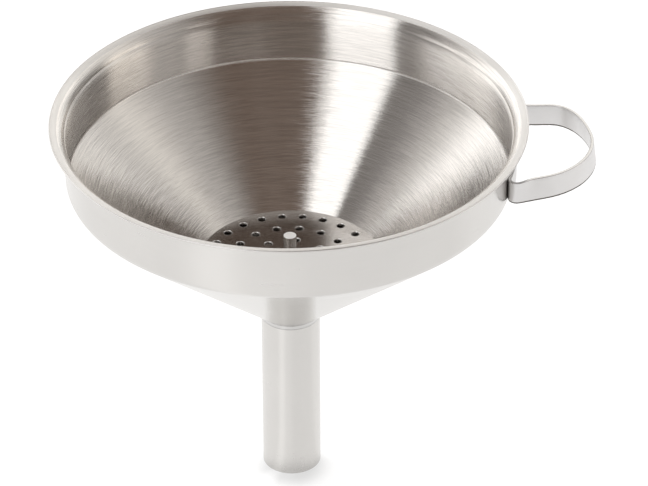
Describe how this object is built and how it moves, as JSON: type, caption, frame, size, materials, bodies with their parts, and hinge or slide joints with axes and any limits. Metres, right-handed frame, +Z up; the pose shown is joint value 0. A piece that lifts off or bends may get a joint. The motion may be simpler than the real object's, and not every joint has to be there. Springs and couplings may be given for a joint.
{
  "type": "strainer funnel",
  "caption": "Stainless steel kitchen funnel with flared lip, conical bowl, narrow tube spout, strap loop handle and a lift-out perforated strainer with a centre post.",
  "frame": {"origin": "centre of the spout's outlet, on the funnel's axis", "axes": "+Z up along the funnel's axis towards the mouth, +X towards the loop handle"},
  "size_m": [0.1605, 0.14, 0.1223],
  "materials": {
    "bowl_steel": "turned brushed grain inside, polished outside",
    "polished_steel": "polished",
    "weld_steel": "ground and polished weld",
    "strap_steel": "satin faces, sheared edges",
    "strainer_steel": "satin, punched holes",
    "post_steel": "polished"
  },
  "bodies": {
    "funnel": {"bowl": "bowl_steel", "spout": "polished_steel", "spout_weld": "weld_steel", "handle_strap": "strap_steel"},
    "strainer": {"strainer_disc": "strainer_steel", "strainer_post": "post_steel"}
  },
  "joints": [
    {"name": "strainer_lift", "type": "slide", "parent": "funnel", "child": "strainer", "axis": [0, 0, 1], "range_m": [0, 0.06]}
  ]
}
